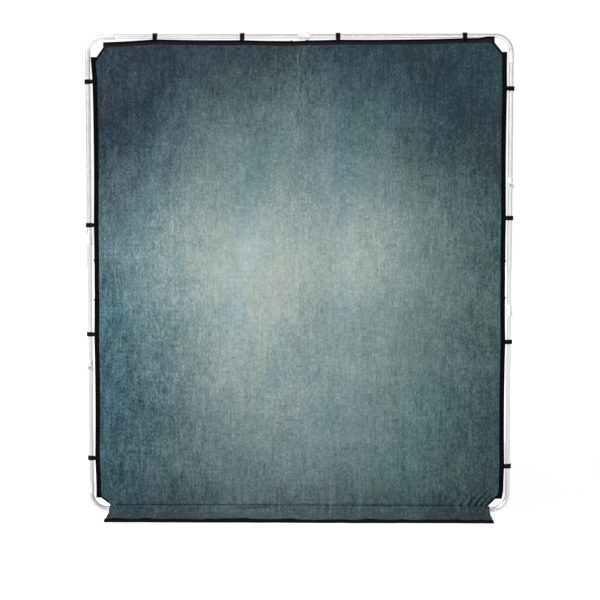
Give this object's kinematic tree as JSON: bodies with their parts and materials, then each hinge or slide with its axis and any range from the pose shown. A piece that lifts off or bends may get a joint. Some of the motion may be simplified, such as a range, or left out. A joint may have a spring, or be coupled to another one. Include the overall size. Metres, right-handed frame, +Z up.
{
  "type": "collapsible backdrop panel",
  "caption": "Folding tube frame with hinged couplings, holding a mottled cloth backdrop by snap clips and straps, with a skirt that runs out over the floor.",
  "frame": {"origin": "on the floor under the middle of the whole object, which is 96 mm in front of the frame's tubes", "axes": "+Z up; +X to the right as seen from the front; +Y from the front to the back"},
  "size_m": [2.0148, 0.238, 2.2624],
  "materials": {
    "tube": "satin",
    "coupling": "satin",
    "button": "satin",
    "pin": "satin",
    "rivet": "satin",
    "clip": "satin",
    "cloth": "matte",
    "skirt": "matte",
    "webbing": "matte",
    "strap": "matte"
  },
  "bodies": {
    "root": {"bottom_right_corner_tube": "tube", "bottom_tube": "tube", "bottom_right_coupling": "coupling", "right_lower_hinge_base": "coupling", "right_lower_hinge_pin": "pin", "bottom_hinge_base": "coupling", "bottom_hinge_pin": "pin", "bottom_right_clips": "clip", "bottom_right_rivets": "rivet"},
    "right_middle": {"right_middle_tube": "tube", "right_lower_hinge_arm": "coupling", "right_upper_hinge_base": "coupling", "right_upper_hinge_pin": "pin", "right_middle_clip": "clip", "right_middle_rivets": "rivet"},
    "top_right": {"right_upper_tube": "tube", "top_right_corner_tube": "tube", "top_right_coupling": "coupling", "right_upper_hinge_arm": "coupling", "top_hinge_base": "coupling", "top_hinge_pin": "pin", "top_right_clips": "clip", "top_right_rivets": "rivet"},
    "top_left": {"top_tube": "tube", "top_left_corner_tube": "tube", "top_left_coupling": "coupling", "top_hinge_arm": "coupling", "closing_plug": "coupling", "top_left_clips": "clip", "top_left_rivets": "rivet"},
    "bottom_left": {"bottom_left_corner_tube": "tube", "left_lower_tube": "tube", "bottom_left_coupling": "coupling", "bottom_hinge_arm": "coupling", "left_hinge_base": "coupling", "left_hinge_pin": "pin", "bottom_left_clips": "clip", "bottom_left_rivets": "rivet"},
    "left_middle": {"left_middle_tube": "tube", "left_hinge_arm": "coupling", "closing_saddle": "coupling", "left_middle_clip": "clip", "left_middle_rivets": "rivet"},
    "cover": {"backdrop_cloth": "cloth", "left_webbing": "webbing", "right_webbing": "webbing", "top_webbing": "webbing", "bottom_webbing": "webbing", "corner_bindings": "webbing", "clip_straps": "strap", "floor_skirt": "skirt", "skirt_hem": "webbing"},
    "right_lower_lock": {"right_lower_button": "button"},
    "right_upper_lock": {"right_upper_button": "button"},
    "top_lock": {"top_button": "button"},
    "bottom_lock": {"bottom_button": "button"},
    "left_lock": {"left_button": "button"},
    "closing_lock": {"closing_button": "button"}
  },
  "joints": [
    {"name": "frame_fold", "type": "hinge", "parent": "root", "child": "right_middle", "pos_m": [0.989, 0.114, 0.962], "axis": [-1, 0, 0], "range_deg": [0, 180]},
    {"name": "right_upper_fold", "type": "hinge", "parent": "right_middle", "child": "top_right", "pos_m": [0.989, 0.078, 1.559], "axis": [1, 0, 0], "range_deg": [0, 180]},
    {"name": "top_fold", "type": "hinge", "parent": "top_right", "child": "top_left", "pos_m": [0.025, 0.114, 2.244], "axis": [0, 0, -1], "range_deg": [0, 180]},
    {"name": "bottom_fold", "type": "hinge", "parent": "root", "child": "bottom_left", "pos_m": [-0.025, 0.114, 0.016], "axis": [0, 0, -1], "range_deg": [0, 180]},
    {"name": "left_fold", "type": "hinge", "parent": "bottom_left", "child": "left_middle", "pos_m": [-0.989, 0.078, 0.701], "axis": [1, 0, 0], "range_deg": [0, 180]},
    {"name": "cover_lift", "type": "slide", "parent": "root", "child": "cover", "axis": [0, -1, 0], "range_m": [0, 0.25], "deforming": ["clip_straps"]},
    {"name": "right_lower_press", "type": "slide", "parent": "root", "child": "right_lower_lock", "axis": [-1, 0, 0], "range_m": [0, 0.002], "stiffness_N_per_m": 600},
    {"name": "right_upper_press", "type": "slide", "parent": "right_middle", "child": "right_upper_lock", "axis": [-1, 0, 0], "range_m": [0, 0.002], "stiffness_N_per_m": 600},
    {"name": "top_press", "type": "slide", "parent": "top_right", "child": "top_lock", "axis": [0, 0, -1], "range_m": [0, 0.002], "stiffness_N_per_m": 600},
    {"name": "bottom_press", "type": "slide", "parent": "root", "child": "bottom_lock", "axis": [0, 0, -1], "range_m": [0, 0.002], "stiffness_N_per_m": 600},
    {"name": "left_press", "type": "slide", "parent": "bottom_left", "child": "left_lock", "axis": [1, 0, 0], "range_m": [0, 0.002], "stiffness_N_per_m": 600},
    {"name": "closing_press", "type": "slide", "parent": "left_middle", "child": "closing_lock", "axis": [1, 0, 0], "range_m": [0, 0.002], "stiffness_N_per_m": 600}
  ],
  "couplings": [
    {"joint": "right_upper_fold", "follows": "frame_fold", "ratio": 1},
    {"joint": "top_fold", "follows": "frame_fold", "ratio": 1},
    {"joint": "bottom_fold", "follows": "frame_fold", "ratio": 1},
    {"joint": "left_fold", "follows": "frame_fold", "ratio": 1}
  ]
}
